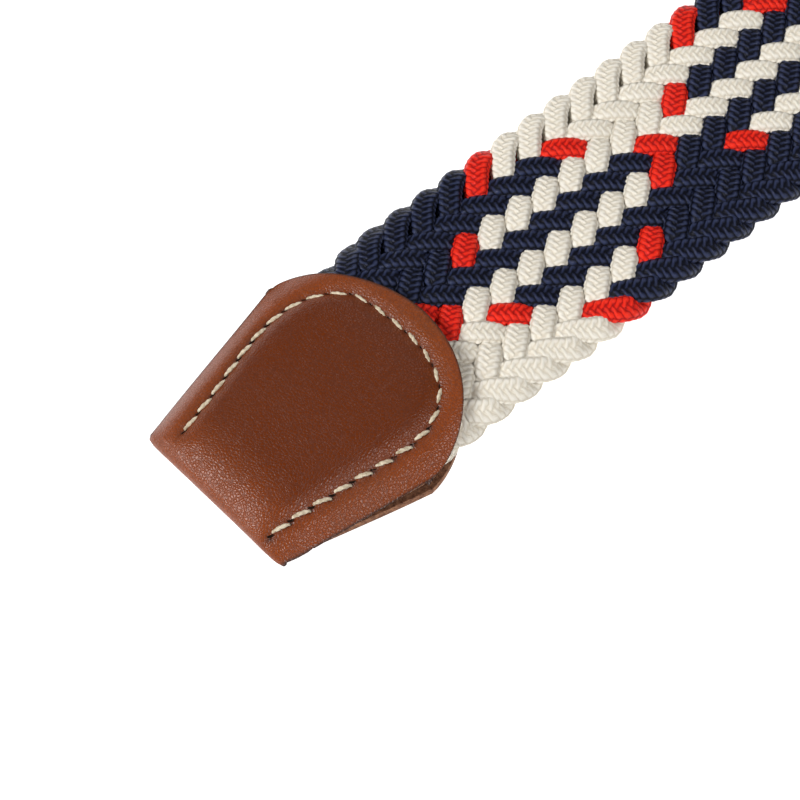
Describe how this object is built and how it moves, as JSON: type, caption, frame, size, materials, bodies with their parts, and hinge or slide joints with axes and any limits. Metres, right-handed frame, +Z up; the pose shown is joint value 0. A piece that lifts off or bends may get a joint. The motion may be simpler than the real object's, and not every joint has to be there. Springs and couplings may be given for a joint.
{
  "type": "braided stretch belt",
  "caption": "flat braided stretch belt of striped cords, with a stitched leather tip, a leather tab and a plain prong buckle",
  "frame": {"origin": "on the surface that the belt lies on, below the middle of its length", "axes": "+X runs along the belt from the leather tip to the buckle, +Y across the strap, +Z up from the surface"},
  "size_m": [0.95, 0.048, 0.0074],
  "materials": {
    "leather": "tan leather with a fine pebbled grain, stretched smooth over the braid, with dark painted edges",
    "cord": "plaited yarn cords in navy, cream and red with a soft sheen",
    "thread": "waxed cream sewing thread",
    "buckle_metal": "satin nickel with fine brushing and worn edges"
  },
  "bodies": {
    "root": {"leather_tip": "leather", "braided_strap": "cord", "buckle_tab": "leather", "buckle": "buckle_metal"}
  },
  "joints": []
}
